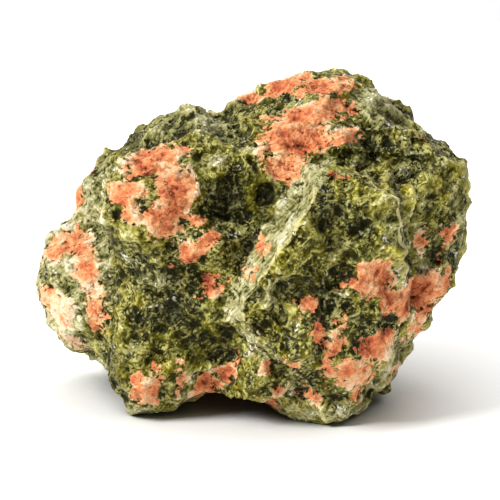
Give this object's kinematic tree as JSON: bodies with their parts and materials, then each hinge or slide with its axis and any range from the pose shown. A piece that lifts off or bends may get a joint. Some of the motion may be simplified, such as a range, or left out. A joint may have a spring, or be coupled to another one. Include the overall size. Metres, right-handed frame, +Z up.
{
  "type": "natural stone",
  "caption": "Rough broken lump of unakite, mottled olive green and salmon pink, with a block standing proud of its front and a low arch between its feet.",
  "frame": {"origin": "middle of the bounding box's underside, on the ground plane the stone rests on", "axes": "+X towards the viewer's right along the stone's length, -Y towards the viewer out of its best face, +Z up"},
  "size_m": [0.072, 0.051, 0.053],
  "materials": {
    "stone": "rough broken surface, olive green epidote with patches of salmon pink feldspar and pale grey quartz"
  },
  "bodies": {
    "root": {"stone": "stone"}
  },
  "joints": []
}
